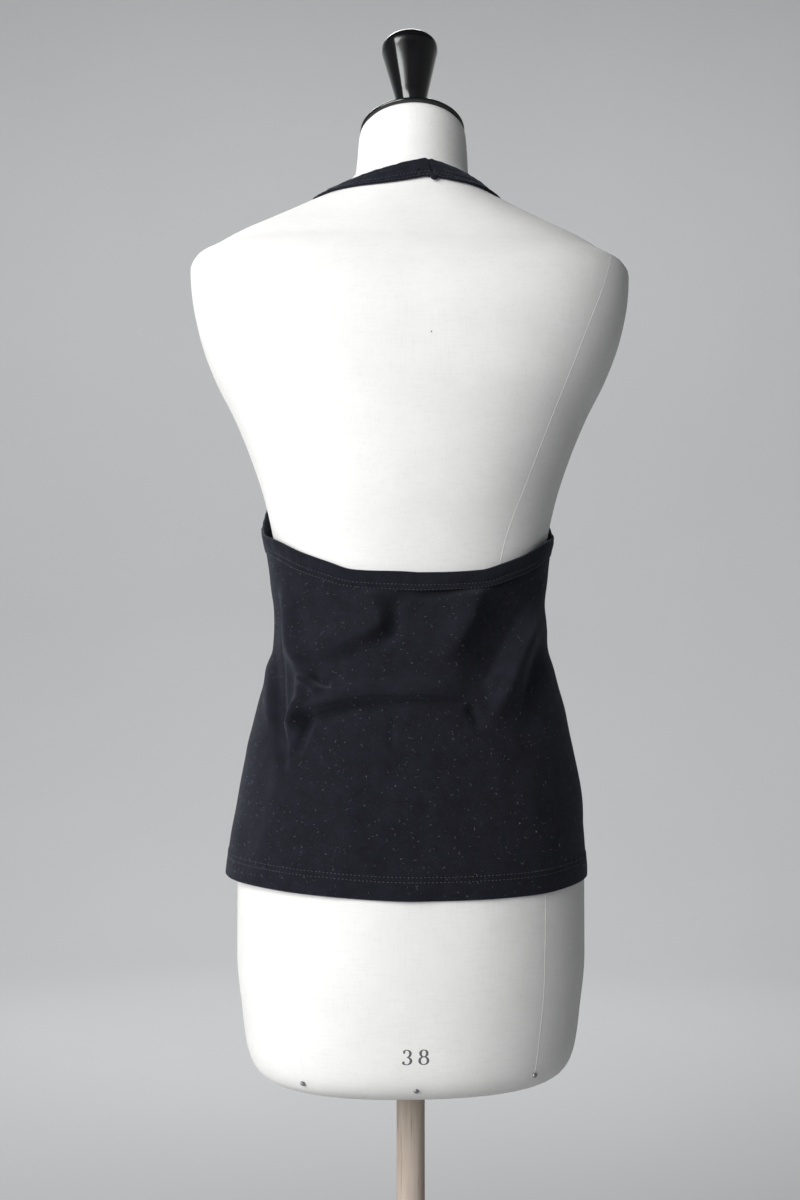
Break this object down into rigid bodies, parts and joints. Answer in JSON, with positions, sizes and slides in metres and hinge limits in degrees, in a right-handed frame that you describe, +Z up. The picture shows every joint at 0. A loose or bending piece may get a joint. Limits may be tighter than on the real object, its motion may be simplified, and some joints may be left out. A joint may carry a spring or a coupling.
{
  "type": "halter neck top on a dress form",
  "caption": "Halter neck top with a low back, banded edges and a stitched hem, worn by a limbless padded dress form with a lacquered finial on a round wooden stand.",
  "frame": {"origin": "on the floor under the middle of the pole, at the centre of the round base", "axes": "+Z up along the pole; the top's front faces -Y and the wearer's left is +X"},
  "size_m": [0.395, 0.36, 1.6319],
  "materials": {
    "jersey": "matt cotton jersey with a little lint, near black with a blue cast",
    "form_linen": "off-white plain-woven linen stretched smooth over padding",
    "black_lacquer": "gloss black lacquer on turned wood",
    "pale_wood": "pale beech with a dull wax finish",
    "nail_steel": "small domed steel nails"
  },
  "bodies": {
    "root": {"front_panel": "jersey", "back_panel": "jersey", "back_band": "jersey", "armhole_band_left": "jersey", "armhole_band_right": "jersey", "neck_band": "jersey", "dress_form": "form_linen", "neck_cap": "black_lacquer", "neck_finial": "black_lacquer", "stand_pole": "pale_wood", "stand_base": "pale_wood", "nail_back_centre": "nail_steel", "nail_back_left": "nail_steel", "nail_back_right": "nail_steel", "nail_front_centre": "nail_steel", "nail_front_left": "nail_steel", "nail_front_right": "nail_steel"}
  },
  "joints": []
}
